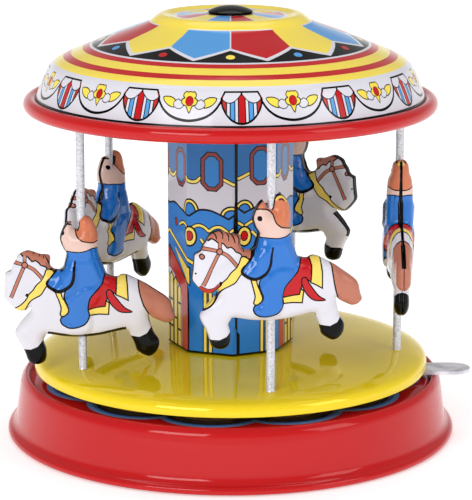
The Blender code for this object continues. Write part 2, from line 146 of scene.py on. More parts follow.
def bump(tree, shader, value, strength, distance):
    node = tree.nodes.new("ShaderNodeBump")
    set_inputs(node, {"Strength": strength, "Distance": distance})
    tree.links.new(value, node.inputs["Height"])
    tree.links.new(node.outputs["Normal"], shader.inputs["Normal"])


def enamel(name, colour, rough=0.10, wave=0.05, shine=0.3, metallic=0.0):
    """Litho ink under gloss varnish: even colour, varnish with a faint orange peel and dull smears."""
    material, tree, shader = new_material(name)
    set_inputs(shader, {"Base Color": linear(*colour), "IOR": 1.52, "Specular IOR Level": shine,
                        "Metallic": metallic})
    smear = noise(tree, 160.0, 3.0)
    tree.links.new(remap(tree, smear, 0.3, 0.75, rough * 0.7, rough * 1.7), shader.inputs["Roughness"])
    bump(tree, shader, noise(tree, 420.0, 1.0), wave, 0.0002)
    return material


def metal(name, colour, rough, grain=900.0, stretch=None, strength=0.12, metallic=1.0):
    """Bare metal with fine grain in its tone, its roughness and its surface."""
    material, tree, shader = new_material(name)
    shader.inputs["Metallic"].default_value = metallic
    fine = noise(tree, grain, 4.0, stretch)
    ramp = tree.nodes.new("ShaderNodeValToRGB")
    dark = tuple(value * 0.62 for value in linear(*colour)[:3]) + (1.0,)
    for stop, place, tone in zip(ramp.color_ramp.elements, (0.30, 0.62), (dark, linear(*colour))):
        stop.position = place
        stop.color = tone
    tree.links.new(fine, ramp.inputs["Fac"])
    tree.links.new(ramp.outputs["Color"], shader.inputs["Base Color"])
    tree.links.new(remap(tree, fine, 0.3, 0.7, rough * 1.3, rough * 0.8), shader.inputs["Roughness"])
    bump(tree, shader, fine, strength, 0.0001)
    return material


INKS = {
    "black": (4, 4, 5), "white": (224, 222, 231), "red": (196, 18, 26), "yellow": (252, 226, 84),
    "blue": (36, 122, 206), "sky": (84, 160, 226), "gold": (247, 219, 104), "maroon": (138, 52, 50),
    "lilac": (208, 204, 216), "salmon": (192, 120, 98), "rust": (190, 50, 44), "cream": (232, 198, 186),
    "hood": (214, 124, 88), "tan": (176, 164, 140), "grey": (66, 68, 76), "deep": (24, 84, 158),
    # the deck's scallop blue on the next line is the sky ink made lighter, as painted light against the shade
    # under the platform
    "scallop": (118, 172, 240), "column": (32, 106, 176), "pane": (40, 122, 196), "suit": (14, 112, 204),
}
SHINES = {"suit": 0.6, "black": 0.16}
INK = {name: enamel("ink_" + name, colour, shine=SHINES.get(name, 0.3)) for name, colour in INKS.items()}
ENAMEL_RED = enamel("enamel_red", (198, 14, 19), 0.07, 0.05, 0.34)
ENAMEL_YELLOW = enamel("enamel_yellow", (252, 222, 32), 0.03, 0.02, 0.36, 0.1)
TIN = metal("bare_tin", (196, 196, 192), 0.28, 700.0, (1.0, 1.0, 0.2))
ZINC = metal("spangled_zinc", (226, 226, 232), 0.34, 1900.0, None, 0.4, 0.6)
LEVER_ZINC = metal("lever_zinc", (240, 237, 248), 0.36, 260.0, None, 0.1, 0.6)
STEEL = metal("motor_steel", (160, 160, 164), 0.26, 900.0, (0.15, 1.0, 1.0))
BRASS = metal("motor_brass", (206, 168, 92), 0.24, 800.0, (1.0, 0.2, 1.0))
SPRING = metal("blued_spring", (70, 78, 104), 0.28, 900.0, (1.0, 1.0, 0.1))


# ---------------------------------------------------------------- flat artwork

def area(points):
    total = 0.0
    for (x0, y0), (x1, y1) in zip(points, points[1:] + points[:1]):
        total += x0 * y1 - x1 * y0
    return total / 2


def arc(x, y, rx, ry, start, end, steps):
    """Points on an ellipse, from one angle to another, in degrees anticlockwise from +X."""
    out = []
    for step in range(steps + 1):
        angle = radians(start + (end - start) * step / steps)
        out.append((x + rx * cos(angle), y + ry * sin(angle)))
    return out


def oblong(left, low, right, high):
    return [(left, low), (right, low), (right, high), (left, high)]


def disc(x, y, rx, ry=None, steps=24):
    return arc(x, y, rx, ry or rx, 0, 360, steps)[:-1]


def moved(points, right, up=0.0, way=1.0):
    """A shape moved to a place, and mirrored first where way is -1."""
    return [(right + way * x, up + y) for x, y in points]


def smooth(points, closed=True, steps=3):
    """A Catmull-Rom curve through the points."""
    count = len(points)
    out = []
    last = count if closed else count - 1
    for index in range(last):
        p0, p1, p2, p3 = (
            Vector(points[place % count if closed else min(max(place, 0), count - 1)])
            for place in range(index - 1, index + 3)
        )
        for step in range(steps):
            t = step / steps
            a = (p2 - p0) / 2
            b = (p3 - p1) / 2
            here = (p1 * (2 * t ** 3 - 3 * t ** 2 + 1) + a * (t ** 3 - 2 * t ** 2 + t)
                    + p2 * (3 * t ** 2 - 2 * t ** 3) + b * (t ** 3 - t ** 2))
            out.append((here.x, here.y))
    if not closed:
        out.append(tuple(points[-1]))
    return out


def grow(points, distance, closed=True):
    """Move an outline outward, or a line to its right, with mitred corners."""
    if closed and area(points) < 0:
        points = points[::-1]
    count = len(points)
    out = []
    for index, (x, y) in enumerate(points):
        normals = []
        for first, second in ((index - 1, index), (index, index + 1)):
            if not closed and (first < 0 or second >= count):
                continue
            x0, y0 = points[first % count]
            x1, y1 = points[second % count]
            length = hypot(x1 - x0, y1 - y0)
            if length > 1e-9:
                normals.append(((y1 - y0) / length, (x0 - x1) / length))
        nx = sum(normal[0] for normal in normals) / len(normals)
        ny = sum(normal[1] for normal in normals) / len(normals)
        scale = distance / max(nx * nx + ny * ny, 0.25)
        out.append((x + nx * scale, y + ny * scale))
    return out


class Artwork:
    """Coloured shapes laid over one another. The first shape is the whole sheet."""

    def __init__(self, sheet, ink):
        self.shapes = [(sheet, ink)]

    def fill(self, points, ink):
        self.shapes.append((points, ink))

    def edged(self, points, ink, edge):
        """A shape with a black outline, two thirds of it outside the shape."""
        self.fill(grow(points, edge), "black")
        self.fill(grow(points, -edge * 0.5), ink)

    def stroke(self, points, width, ink):
        """A line. Width is one number, or one for each point."""
        widths = width if isinstance(width, list) else [width] * len(points)
        right, left = (
            [(x + (sx - x) * w / 2, y + (sy - y) * w / 2)
             for (x, y), (sx, sy), w in zip(points, grow(points, way, False), widths)]
            for way in (1.0, -1.0)
        )
        self.fill(right + left[::-1], ink)

    def cut(self, guides=(), spots=()):
        """Points, triangles and each triangle's ink. Guides are extra lines, and spots extra points."""
        points, edges, faces = [], [], []
        for shape, ink in self.shapes:
            ring = shape if area(shape) > 0 else shape[::-1]
            start = len(points)
            points += [Vector(point) for point in ring]
            faces.append(list(range(start, start + len(ring))))
        for guide in guides:
            start = len(points)
            points += [Vector(point) for point in guide]
            edges += [(start + index, start + index + 1) for index in range(len(guide) - 1)]
        points += [Vector(point) for point in spots]
        found, _, triangles, _, _, owners = delaunay_2d_cdt(points, edges, faces, 0, 1e-5, True)
        kept, inks = [], []
        for triangle, owner in zip(triangles, owners):
            if 0 in owner:
                kept.append(tuple(triangle))
                inks.append(self.shapes[max(owner)][1])
        return [tuple(point) for point in found], kept, inks


class Overlay:
    """Lays shapes on an artwork, or on another overlay, at the places that put moves their points to."""

    def __init__(self, art, put):
        self.art = art
        self.put = put

    def fill(self, points, ink):
        self.art.fill(self.put(points), ink)

    def edged(self, points, ink, edge=0.15):
        self.art.edged(self.put(points), ink, edge)

    def stroke(self, points, width, ink="black"):
        self.art.stroke(self.put(points), width, ink)

    def braid(self, points, width, edge):
        """A gold line with a black line each side."""
        self.stroke(points, width + 2 * edge)
        self.stroke(points, width, "gold")

    def line(self, points, width, ink="black"):
        """A curve that swells from a fine start to its full width and back."""
        curve = smooth(points, False, 4)
        count = len(curve) - 1
        swells = [sin(pi * min(i / count, 1.0)) ** 0.5 for i in range(count + 1)]
        self.stroke(curve, [width * (0.3 + 0.7 * swell) for swell in swells], ink)

    def strap(self, points):
        for width, ink in ((0.95, "black"), (0.62, "salmon")):
            self.stroke(smooth(points, False, 3), width, ink)


# ---------------------------------------------------------------- meshes

def add_object(name, data):
    thing = bpy.data.objects.new(name, data)
    bpy.context.scene.collection.objects.link(thing)
    return thing


def finish_piece(name, mesh, body, slot, *nodes):
    piece = add_object(name, mesh)
    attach(piece, body)
    if nodes:
        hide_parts(*nodes)
    return piece


def build_mesh(name, verts, faces, inks, materials, sharp=None):
    """A mesh in metres from points in millimetres. inks name the material of each face."""
    mesh = bpy.data.meshes.new(name)
    mesh.from_pydata([Vector(vert) * MM for vert in verts], [], faces)
    order = list(dict.fromkeys(inks))
    for ink in order:
        mesh.materials.append(materials[ink])
    for polygon, ink in zip(mesh.polygons, inks):
        polygon.material_index = order.index(ink)
    weld(mesh)
    mesh.shade_smooth()
    if sharp is not None:
        mesh.set_sharp_from_angle(angle=radians(sharp))
    return mesh


@contextmanager
def edited(mesh):
    """The mesh as a bmesh, written back afterwards."""
    built = bmesh.new()
    built.from_mesh(mesh)
    yield built
    built.to_mesh(mesh)
    built.free()


def weld(mesh):
    with edited(mesh) as built:
        bmesh.ops.remove_doubles(built, verts=built.verts, dist=0.002 * MM)
        bmesh.ops.dissolve_degenerate(built, edges=built.edges, dist=1e-7)


def thicken(piece, inside, thickness=SKIN):
    """Give a printed sheet its thickness, with the last material on its unprinted side."""
    piece.data.materials.append(inside)
    solid = piece.modifiers.new("sheet", "SOLIDIFY")
    solid.thickness = thickness * MM
    solid.offset = -1.0
    solid.material_offset = 99
    solid.material_offset_rim = 0


def ring_of(profile, steps, ink, closed=False):
    """Faces of a section of (radius, height) turned about the axis, outer side running down."""
    verts, faces = [], []
    count = len(profile)
    for step in range(steps):
        angle = tau * step / steps
        verts += [(radius * cos(angle), radius * sin(angle), height) for radius, height in profile]
    spans = count if closed else count - 1
    for step in range(steps):
        here, there = step * count, (step + 1) % steps * count
        for point in range(spans):
            after = (point + 1) % count
            faces.append((here + point, here + after, there + after, there + point))
    return verts, faces, [ink] * len(faces)


def turned(name, profile, materials, body, slot, nodes, at=(0.0, 0.0), steps=96, closed=True, sharp=40):
    verts, faces, inks = ring_of(profile, steps, "main", closed)
    verts = [(x + at[0], y + at[1], z) for x, y, z in verts]
    mesh = build_mesh(name, verts, faces, inks, {"main": materials}, sharp)
    outward(mesh)
    return finish_piece(name, mesh, body, slot, *nodes)


def outward(mesh):
    """Turn the faces of a closed mesh outward."""
    with edited(mesh) as built:
        bmesh.ops.recalc_face_normals(built, faces=built.faces)


def face_along(mesh, way):
    """Turn every face of a single sheet to look the way that way(middle of the face) points."""
    with edited(mesh) as built:
        wrong = [face for face in built.faces if face.normal.dot(way(face.calc_center_median())) < 0]
        bmesh.ops.reverse_faces(built, faces=wrong)


def rounded(points, passes=2):
    """Cut a quarter off both ends of every part of an open line, keeping the line's ends."""
    for _ in range(passes):
        out = [points[0]]
        for (x0, y0), (x1, y1) in zip(points, points[1:]):
            out.append((x0 + (x1 - x0) / 4, y0 + (y1 - y0) / 4))
            out.append((x1 + (x0 - x1) / 4, y1 + (y0 - y1) / 4))
        out.append(points[-1])
        points = out
    return points


class Profile:
    """A turned outline, addressed by the length along it from its inner end."""

    def __init__(self, points):
        self.points = points
        self.lengths = [0.0]
        for (r0, z0), (r1, z1) in zip(points, points[1:]):
            self.lengths.append(self.lengths[-1] + hypot(r1 - r0, z1 - z0))

    def at(self, length):
        for index in range(len(self.points) - 1):
            if length <= self.lengths[index + 1] + 1e-9 or index == len(self.points) - 2:
                span_length = self.lengths[index + 1] - self.lengths[index]
                t = (length - self.lengths[index]) / span_length
                (r0, z0), (r1, z1) = self.points[index], self.points[index + 1]
                return r0 + (r1 - r0) * t, z0 + (z1 - z0) * t

    def along(self, radius):
        """Length at which a profile that runs outward reaches a radius."""
        for index in range(len(self.points) - 1):
            r0, r1 = self.points[index][0], self.points[index + 1][0]
            if r0 <= radius <= r1:
                t = (radius - r0) / (r1 - r0)
                return self.lengths[index] + (self.lengths[index + 1] - self.lengths[index]) * t
        return self.lengths[-1]


def wrap(profile, cut, turn=0.0):
    """Form flat artwork of (degrees from the front, length along the profile) round the axis."""
    points, triangles, inks = cut
    verts = []
    for bearing, length in points:
        radius, height = profile.at(length)
        angle = radians(bearing + turn)
        verts.append((radius * sin(angle), -radius * cos(angle), height))
    return verts, triangles, inks


def join_parts(parts):
    verts, faces, inks = [], [], []
    for part_verts, part_faces, part_inks in parts:
        start = len(verts)
        verts += part_verts
        faces += [tuple(index + start for index in face) for face in part_faces]
        inks += part_inks
    return verts, faces, inks


# ---------------------------------------------------------------- roof

def deg(mm, radius):
    """The angle that a length round a circle takes, in degrees."""
    return degrees(mm / radius)


def build_roof():
    dome = Profile(rounded([
        (5.3, 102.7), (6.2, 102.65), (13.4, 101.9), (16.3, 103.0), (18.2, 102.0), (19.4, 100.7),
        (28.3, 97.6), (33.2, 95.45), (38.5, 93.35), (42.6, 91.45), (44.3, 89.4), (47.1, 82.55),
    ]))
    end = dome.lengths[-1]
    along = dome.along
    low, high = -15.0, 75.0
    art = Artwork(oblong(low, 0.0, high, end), "white")

    def on_dome(points):
        return [(bearing, along(radius)) for bearing, radius in points]

    def band(inner, outer, ink):
        art.fill(oblong(low - 1, inner, high + 1, outer), ink)

    band(-0.1, along(5.9), "black")
    for inner, outer, ink in (
        (13.6, 19.3, "yellow"), (19.3, 33.2, "black"), (33.8, 35.5, "red"), (35.5, 38.25, "yellow"),
        (38.25, 40.15, "red"), (40.15, 42.2, "yellow"),
    ):
        band(along(inner), along(outer), ink)
    band(end - 0.95, end + 0.1, "black")

    white_line = 0.16
    wedge_inks = ("sky", "red", "yellow")
    dot_inks = ("yellow", "sky", "red")
    for number in range(-1, 4):
        middle = 15.0 + 30.0 * (number - 1)
        ink = wedge_inks[number % 3]
        left, right = middle - 15.0, middle + 15.0
        trim_left = 0.0 if ink == "yellow" else white_line * (ink == "red")
        trim_right = 0.0 if ink == "yellow" else white_line * (ink == "sky")

        # dish wedge inside the collar, edged white
        art.fill(on_dome(oblong(left, 5.9, right, 13.0)), "white")
        art.fill(on_dome([(left + deg(0.12, 6), 6.0), (right - deg(0.12, 6), 6.0),
                          (right - deg(0.2, 13), 12.9), (left + deg(0.2, 13), 12.9)]), ink)
        # pentagon on the slope, with a broad white edge along its point
        art.fill(on_dome([(left, 19.2), (right, 19.2), (right, 28.2), (middle, 32.7), (left, 28.2)]), "white")
        top = 19.2 if ink == "yellow" else 19.5
        art.fill(on_dome([(left + deg(trim_left, 20), top), (right - deg(trim_right, 20), top),
                          (right - deg(trim_right, 27), 27.3), (middle, 31.6),
                          (left + deg(trim_left, 27), 27.3)]), ink)
    for number in range(-1, 4):
        middle = 30.0 * number
        ink = dot_inks[number % 3]
        radius = 30.9
        art.fill(disc(middle, along(radius), deg(1.05, radius), 0.95, 20), ink)
    for number in range(-1, 4):
        shield(art, 3.2 + 30.0 * number, along(42.7) + 1.0)
        winged_flower(art, -11.8 + 30.0 * number, along(42.7) + 3.5)

    guides = [[(low + step * 2.5, 0.0), (low + step * 2.5, end)] for step in range(37)]
    guides += [[(low, length), (high, length)] for length in dome.lengths[1:-1]]
    cut = art.cut(guides)
    parts = [wrap(dome, cut, 90.0 * quarter) for quarter in range(4)]
    verts, faces, inks = join_parts(parts)
    mesh = build_mesh("roof_print", verts, faces, inks, INK)
    face_along(mesh, lambda middle: middle - Vector((0.0, 0.0, 0.05)))
    roof = finish_piece("roof_dome", mesh, "turntable", "white_enamel", "roof")
    thicken(roof, TIN)

    # the rolled rim: a bead with a slight valley above it
    tube = 1.8
    centre_r, centre_z = ROOF_RADIUS - tube, ROOF_LOW.z + tube
    bead = arc(centre_r, centre_z, tube, tube, 140, -200, 28)
    turned("roof_bead", [(46.95, 82.5)] + bead, ENAMEL_RED, "turntable", "red_enamel", (), steps=144,
           sharp=60)


def bent(points, middle, top, wide=1.0, tall=1.0, radius=45.2):
    """A shape in millimetres, stretched and laid round the axis about (degrees, length)."""
    return [(middle + deg(wide * x, radius), top + tall * y) for x, y in points]


def shield(art, middle, top):
    """A striped shield under two white drapes, and the swag that hangs to the next one."""
    def shape(points):
        return bent(points, middle, top, 0.93, 0.91)

    swag = [(3.8, 0.0), (4.5, 2.0), (6.0, 4.4), (8.4, 6.1), (11.8, 6.8), (15.2, 6.1), (17.6, 4.4),
            (19.1, 2.0), (19.8, 0.0)]
    swag = smooth(bent(swag, middle, top), False, 4)
    count = len(swag) - 1
    art.stroke(swag, [0.46 + 0.18 * sin(pi * i / count) for i in range(count + 1)], "black")
    bowl = smooth([(-4.9, 1.9), (-4.6, 3.6), (-3.7, 5.6), (-2.1, 7.4), (0.0, 8.1), (2.1, 7.4), (3.7, 5.6),
                   (4.6, 3.6), (4.9, 1.9)], False, 3)
    outline = [(4.05, 0.0), (-4.05, 0.0)] + bowl
    art.fill(shape(grow(outline, 0.3)), "black")
    stripes = ((3.78, 4.62, "rust"), (2.92, 3.52, "white"), (1.80, 2.66, "sky"), (0.98, 1.54, "white"))
    stripes = [(-far, -near, ink) for near, far, ink in stripes] + [(-0.72, 0.72, "red"), *reversed(stripes)]
    for left, right, ink in stripes:
        feet = [(px, depth_of(bowl, px)) for px in (right, left)]
        art.fill(shape([(left, 0.9), (right, 0.9)] + feet), ink)
    for side in (-1, 1):
        drape = [(4.72, 1.75), (3.9, 2.5), (2.9, 2.75), (1.8, 2.35), (0.9, 1.45), (0.0, 0.25)]
        drape = moved(smooth(drape, False, 3), 0.0, way=side)
        art.stroke(shape(moved(drape, 0.0, 0.08)), 0.34, "black")
        cloth = [(side * 3.95, 0.22), (side * 4.58, 1.65)] + drape[1:-1] + [(side * 0.22, 0.22)]
        art.fill(shape(cloth), "white")


def depth_of(bowl, px):
    """How far a stripe at px reaches down before the shield's outline."""
    for (x0, y0), (x1, y1) in zip(bowl, bowl[1:]):
        if x0 <= px <= x1:
            return y0 + (y1 - y0) * (px - x0) / (x1 - x0) - 0.24
    return 1.6


def winged_flower(art, middle, top):
    def shape(points):
        return bent(points, middle, top, 0.95)

    petal = [(0.0, -2.45), (0.55, -2.3), (1.0, -2.45), (1.45, -1.9), (1.5, -1.3), (1.15, -0.9), (1.75, -0.6),
             (1.8, 0.2), (1.35, 0.7), (0.75, 0.9), (0.45, 1.5)]
    petals = petal + [(0.1, 2.5)] + moved(petal[:0:-1], 0.0, way=-1)
    for side in (-1, 1):
        leaf = [(1.4, 0.9), (1.65, -0.5), (2.2, -0.2), (2.7, -0.6), (3.5, -0.1), (3.8, 0.7), (3.2, 1.4),
                (2.2, 1.6)]
        tip = [(3.4, -0.2), (4.3, -0.9), (5.4, -1.1), (6.5, -0.9), (6.0, 0.1), (5.0, 0.9), (3.7, 1.3),
               (3.8, 0.5)]
        art.edged(shape(smooth(moved(tip, 0.0, way=side), True, 2)), "yellow", 0.17)
        art.edged(shape(smooth(moved(leaf, 0.0, way=side), True, 2)), "white", 0.14)
    art.edged(shape(smooth(petals, True, 2)), "yellow", 0.18)
    art.edged(shape(disc(0.0, -0.2, 0.95, 1.15, 18)), "red", 0.08)


# ---------------------------------------------------------------- base, platform and column

def build_base():
    wall = rounded([
        (49.5, DECK_TOP), (49.9, BASE_HIGH.z - 0.25), (50.5, BASE_HIGH.z), (51.3, 13.9), (51.9, 12.8),
        (53.0, 3.9), (53.25, 2.9), (53.9, 2.1), (54.6, 1.75), (55.1, 1.3), (BASE_RADIUS, 0.6), (54.8, 0.05),
    ])
    inner = [(54.2, 0.05), (53.9, 0.9), (52.9, 2.6), (52.4, 4.4), (51.4, 12.6), (50.9, 13.4), (50.1, 13.6),
             (49.8, 13.3), (49.3, DECK_TOP - 0.4)]
    mesh = build_mesh("base_wall", *ring_of(wall + inner, 160, "main", True), {"main": ENAMEL_RED}, 50)
    outward(mesh)
    finish_piece("base_wall", mesh, "base", "red_enamel", "base_shell")

    hole, edge = 2.8, 49.55
    pitch = 360.0 / DECK_SECTORS
    half = pitch / 2
    art = Artwork(oblong(-half, hole, half, edge), "red")
    # the outer ring of each oval is the sky blue made lighter, as painted light against the shade under the
    # platform
    for grown, ink in ((0.0, "scallop"), (-1.3, "blue"), (-2.1, "black"), (-3.0, "grey"), (-5.4, "tan")):
        for number in (-1, 0, 1):
            oval = disc(0.0, 0.0, 15.4 + grown, 12.6 + grown, 48)
            art.fill(bent(oval, pitch * number, 34.5, radius=43.0), ink)
    art.fill(oblong(-20, 2.5, 20, 33.4), "deep")
    art.fill(oblong(-20, 2.5, 20, 32.9), "yellow")
    deck = Profile([(hole, DECK_TOP), (edge, DECK_TOP)])
    guides = [[(-half + half * step / 4, hole), (-half + half * step / 4, edge)] for step in range(9)]
    points, triangles, inks = art.cut(guides)
    cut = ([(bearing, radius - hole) for bearing, radius in points], triangles, inks)
    parts = [wrap(deck, cut, pitch * number + DECK_TURN) for number in range(DECK_SECTORS)]
    mesh = build_mesh("deck_print", *join_parts(parts), INK)
    face_along(mesh, lambda middle: Vector((0.0, 0.0, 1.0)))
    printed = finish_piece("base_deck", mesh, "base", "red_enamel")
    thicken(printed, TIN)


def build_platform():
    dome = [(1.7, 21.46), (9.0, 21.45), (15.2, 21.36), (22.0, 21.15), (29.0, 20.86), (35.0, 20.62),
            (41.0, 20.31), (45.0, 19.97), (47.0, 19.36)]
    shoulder = [(47.7, 18.95), (48.1, 18.45), (48.32, 17.9), (PLATFORM_RADIUS, 17.3)]
    outer = rounded(dome + shoulder, 1) + [(PLATFORM_RADIUS, PLATFORM_LOW.z + 0.1)]
    inner = [(PLATFORM_RADIUS - 0.4, PLATFORM_LOW.z), (PLATFORM_RADIUS - 0.4, 17.3), (47.7, 18.3)]
    inner += [(radius, height - 0.4) for radius, height in reversed(dome[:-1])]
    turned("platform_disc", outer + inner, ENAMEL_YELLOW, "turntable", "yellow_enamel", ("platform",),
           steps=160)


def build_column():
    """The print is one sheet, lapped at the front and a little crooked, so its two ends miss each other."""
    half = 4 * FACET
    parts = []
    for side in (1, -1):
        art = column_half(side, half)
        breaks = [SEAM_PLACE + FACET * number for number in range(-4, 5)]
        corners = [side * (place - SEAM_PLACE) - side * SEAM_PLACE for place in breaks]
        low, high = COLUMN_LOW.z, COLUMN_HIGH.z
        guides = [[(place, low), (place, high)] for place in corners if 0.0 < place < half]
        levels = [low + (high - low) * step / 8 for step in range(1, 8)]
        guides += [[(0.0, level), (half, level)] for level in levels]
        points, triangles, inks = art.cut(guides)
        verts = []
        for distance, height in points:
            here = column_point(side * distance + SEAM_PLACE)
            verts.append((here.x, here.y, height))
        parts.append((verts, triangles, inks))
    mesh = build_mesh("column_print", *join_parts(parts), INK, 30)
    face_along(mesh, lambda middle: Vector((middle.x, middle.y, 0.0)))
    column = finish_piece("castle_column", mesh, "turntable", "blue_enamel", "column")
    thicken(column, TIN)


def column_point(distance):
    """A place on the octagon, by the distance round it from the front corner."""
    side = floor(distance / FACET + 1e-9)
    ends = []
    for corner in (side, side + 1):
        angle = radians(COLUMN_TURN - 90.0 + 45.0 * corner)
        ends.append(Vector((COLUMN_RADIUS * cos(angle), COLUMN_RADIUS * sin(angle), 0.0)))
    return ends[0].lerp(ends[1], distance / FACET - side)


def column_half(side, half):
    """The print from the seam round to the back, with its lower picture mirrored about the middle."""
    low, high = COLUMN_LOW.z, COLUMN_HIGH.z
    art = Artwork(oblong(0.0, low, half, high), "lilac")
    # the sheet is crooked, so its print is lifted or lowered towards the seam
    sheet = Overlay(art, lambda points: [(x, y + side * 0.75 * (1.0 - x / half)) for x, y in points])
    pitch = half / 4.645
    castle_waves(sheet, half, pitch, side)
    castle_foot(sheet, half)
    castle_top(sheet, half, pitch)
    # the black strip along the lap is painted shade of the crease where the sheet's two ends meet
    if side > 0:
        seam = [(0.0, high), (0.3, high), (0.3, 58.0), (0.45, 50.0), (0.3, 40.0), (0.25, 27.6), (0.85, 26.9),
                (0.85, low), (0.0, low)]
    else:
        seam = [(0.0, high), (0.55, high), (0.45, 60.0), (0.75, 56.0), (0.8, 52.5), (0.4, 51.0), (0.45, 40.0),
                (0.4, 28.6), (0.0, 28.0)]
    art.fill(seam, "black")
    art.fill(oblong(-1, low - 1, half + 1, low + 0.4), "black")
    return art


def castle_top(sheet, half, pitch):
    """Blue wall with a scalloped gold hem, and maroon windows."""
    middles = [6.3 + pitch * number for number in range(-1, 6)]
    hem = []
    for middle in middles[1:]:
        gap = middle - pitch / 2 if middle > 7.0 else 0.0
        hem += [(gap, 64.35), (gap + 1.1, 64.6), (middle - 2.7, 65.6), (middle, 66.2), (middle + 2.7, 65.6),
                (middle + pitch / 2 - 1.1, 64.6)]
    hem = smooth([(-3.0, 65.6), (-1.2, 64.6)] + hem, False, 3)
    sheet.fill(hem + [(half + 9, 90.0), (-3.0, 90.0)], "column")
    sheet.braid(hem, 0.62, 0.26)
    for middle in middles[1:]:
        for wide, tall, chamfer, ink in ((2.95, 4.8, 1.75, "black"), (2.68, 4.53, 1.62, "maroon"),
                                         (1.95, 3.8, 1.15, "black"), (1.75, 3.6, 1.05, "pane")):
            corners = [(-wide, chamfer - tall), (chamfer - wide, -tall), (wide - chamfer, -tall),
                       (wide, chamfer - tall), (wide, tall - chamfer), (wide - chamfer, tall),
                       (chamfer - wide, tall), (-wide, tall - chamfer)]
            sheet.fill(moved(corners, middle, 67.2), ink)


def castle_waves(sheet, half, pitch, side):
    """Blue hills with a gold-ringed bump in each dip, swags, and a medallion under each dip."""
    dips = (DIP, DIP + pitch, half - DIP - pitch, half - DIP)
    for dip in dips:
        first = dip < 3.0
        top = 2.6 if first else 3.6
        wide = 2.9 if first and side < 0 else 2.4
        middle = dip - 0.9 if first and side < 0 else dip
        for inset, ink, edge in ((0.0, "gold", 0.28), (0.85, "blue", 0.24)):
            half_width = wide - inset
            bump_top = arc(middle, 56.4, half_width, top - inset, 180, 0, 16)
            sheet.edged([(middle - half_width, 55.6)] + bump_top + [(middle + half_width, 55.6)], ink, edge)
    near, far = dips[1], dips[2]
    short = [(0.0, 56.0), (2.4, 57.0), (4.9, 57.75), (7.6, 57.6), (pitch, 56.0)]
    long = [(0.0, 56.0), (2.4, 56.6), (4.7, 57.1), (8.1, 57.85), (half / 2 - near, 57.2)]
    hills = []
    for ridge in (
        moved(short, DIP - pitch),
        moved(short, DIP),
        moved(long, near) + moved(long[-2::-1], far, way=-1),
        moved(short[::-1], half - DIP, way=-1),
    ):
        hills += smooth(ridge, False, 4)[:-1]
    hills += [(half - DIP, 56.0), (half + 2.0, 57.2)]
    sheet.fill(hills + [(half + 14, 57.0), (half + 14, 10.0), (-14, 10.0)], "blue")
    sheet.stroke(hills, 0.5)
    loop = [(0.0, 52.6), (1.1, 53.4), (2.4, 53.9), (3.9, 53.5)]
    loop = loop + [(pitch / 2, 52.7)] + moved(loop[::-1], pitch, way=-1)
    lone = [(0.0, 52.6), (1.1, 53.4), (2.5, 53.9), (3.9, 53.6), (5.1, 52.9)]
    for start in (DIP - pitch, DIP, half - DIP - pitch, half - DIP):
        sheet.braid(smooth(moved(loop, start), False, 4), 0.55, 0.28)
    for place, way in ((near, 1), (far, -1)):
        sheet.braid(smooth(moved(lone, place, way=way), False, 4), 0.55, 0.28)
        sheet.edged(disc(place + way * 7.2, 53.2, 0.6, 0.9, 16), "rust", 0.2)
    for dip in dips:
        height = 50.3 if dip < 3.0 else 51.0
        sheet.edged(disc(dip, height, 1.75, 2.3, 22), "gold", 0.3)
        sheet.edged(disc(dip, height + 0.1, 0.85, 1.15, 18), "red", 0.16)


def castle_foot(sheet, half):
    """A braid, a gold wedge, a red band and gold bricks, on both sides of each door."""
    for door, way in ((0.0, 1.0), (half, -1.0)):
        wall = Overlay(sheet, lambda points: moved(points, door, way=way))
        reach = half / 2
        end = reach + 0.2
        outer = smooth([(12.6, 15.0), (12.6, 37.4), (14.9, 40.7), (19.1, 43.7), (end, 46.4)], False, 3)
        inner = smooth([(16.1, 15.0), (16.1, 35.2), (17.7, 37.6), (20.6, 39.9), (end, 41.1)], False, 3)
        wall.edged(outer + inner[::-1], "rust", 0.28)
        wall.fill(inner + [(reach, 15.0)], "lilac")
        for number, top in enumerate((37.8, 39.2, 40.0)):
            px = 16.65 + 2.35 * number
            joints = [15.0, 29.0, top] if number % 2 else [15.0, 26.5, 33.2, top]
            for bottom, height in zip(joints, joints[1:]):
                brick = oblong(px, bottom + 0.15, px + 1.75, height - 0.15)
                if height == top:
                    brick = brick[:2] + [(px + 1.75, top - 0.9), (px + 0.87, top), (px, top - 0.9)]
                wall.edged(brick, "gold", 0.28)
        wall.braid([(reach, 50.3), (10.9, 44.3), (9.2, 41.8), (8.1, 38.2), (8.1, 15.0)], 0.68, 0.28)
        wall.braid([(6.75, 15.0), (6.75, 41.0)], 0.68, 0.28)
        wall.edged([(20.3, 46.9), (12.1, 43.1), (12.05, 38.9)], "gold", 0.28)
        wall.braid([(9.2, 50.6), (8.0, 49.0)], 0.55, 0.24)
        wall.braid([(4.0, 51.4), (5.4, 50.0)], 0.55, 0.24)


# ---------------------------------------------------------------- riders

